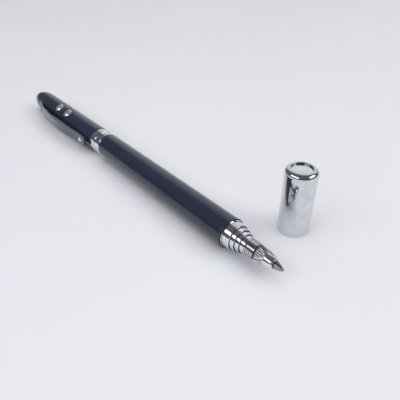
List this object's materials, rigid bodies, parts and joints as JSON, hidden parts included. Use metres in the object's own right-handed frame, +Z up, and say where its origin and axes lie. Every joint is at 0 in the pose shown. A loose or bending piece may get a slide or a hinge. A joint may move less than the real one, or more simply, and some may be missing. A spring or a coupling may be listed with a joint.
{
  "type": "telescopic pen",
  "caption": "Ballpoint pen with a pull-out telescopic pointer, lamp and laser buttons in its tail, a pocket clip and a chrome cap with a magnet in its end.",
  "frame": {"origin": "on the pen's axis at the barrel's front end, which the cap's mouth meets when the cap is on", "axes": "+X along the pen towards the writing tip, +Z up from the surface that the pen lies on"},
  "size_m": [0.1478, 0.0315, 0.0202],
  "materials": {
    "black_gloss": "glossy black lacquer",
    "chrome": "bright chrome plate",
    "brass": "turned brass",
    "steel": "plain steel",
    "magnet": "nickel plate",
    "insulator": "white film",
    "dark_plastic": "matt moulding",
    "board": "solder resist",
    "clear": "clear moulding"
  },
  "bodies": {
    "barrel": {"front_barrel": "black_gloss", "nose_collar": "chrome", "coupling": "chrome", "battery_spring": "steel"},
    "stage_1": {"stage_1_tube": "chrome", "stage_1_plug": "brass", "stage_1_sleeve": "brass"},
    "stage_2": {"stage_2_tube": "chrome", "stage_2_plug": "brass", "stage_2_sleeve": "brass"},
    "stage_3": {"stage_3_tube": "chrome", "stage_3_plug": "brass", "stage_3_sleeve": "brass"},
    "stage_4": {"stage_4_tube": "chrome", "stage_4_plug": "brass", "stage_4_sleeve": "brass", "nib_holder": "chrome", "refill_tube": "steel", "refill_tip": "brass"},
    "ball": {"writing_ball": "steel"},
    "tail": {"tail_tube": "black_gloss", "tail_ring": "chrome", "tail_nose": "black_gloss", "clip": "black_gloss", "clip_stud": "chrome", "button_cells": "steel", "cell_sleeve": "insulator", "cell_contact": "brass", "circuit_board": "board", "tact_switches": "dark_plastic", "lamp": "clear", "lamp_leads": "steel", "laser_housing": "brass", "laser_lens": "clear", "laser_diode": "brass"},
    "lamp_button": {"lamp_button": "chrome", "lamp_plunger": "dark_plastic"},
    "laser_button": {"laser_button": "chrome", "laser_plunger": "dark_plastic"},
    "cap": {"cap_shell": "chrome", "cap_magnet": "magnet", "cap_liner": "dark_plastic"}
  },
  "joints": [
    {"name": "stage_1_slide", "type": "slide", "parent": "barrel", "child": "stage_1", "axis": [1, 0, 0], "range_m": [0, 0.053]},
    {"name": "stage_2_slide", "type": "slide", "parent": "stage_1", "child": "stage_2", "axis": [1, 0, 0], "range_m": [0, 0.0586]},
    {"name": "stage_3_slide", "type": "slide", "parent": "stage_2", "child": "stage_3", "axis": [1, 0, 0], "range_m": [0, 0.0571]},
    {"name": "stage_4_slide", "type": "slide", "parent": "stage_3", "child": "stage_4", "axis": [1, 0, 0], "range_m": [0, 0.0556]},
    {"name": "ball_roll", "type": "hinge", "parent": "stage_4", "child": "ball", "pos_m": [0.01825, 0, 0], "axis": [0, 1, 0], "continuous": true},
    {"name": "tail_pull", "type": "slide", "parent": "barrel", "child": "tail", "axis": [-1, 0, 0], "range_m": [0, 0.012]},
    {"name": "lamp_button_press", "type": "slide", "parent": "tail", "child": "lamp_button", "axis": [0, 0.4695, -0.8829], "range_m": [0, 0.0005], "stiffness_N_per_m": 300},
    {"name": "laser_button_press", "type": "slide", "parent": "tail", "child": "laser_button", "axis": [0, 0.4695, -0.8829], "range_m": [0, 0.0005], "stiffness_N_per_m": 300},
    {"name": "cap_lift", "type": "slide", "parent": "barrel", "child": "cap", "axis": [0, 0, 1], "range_m": [0, 0.025]}
  ]
}
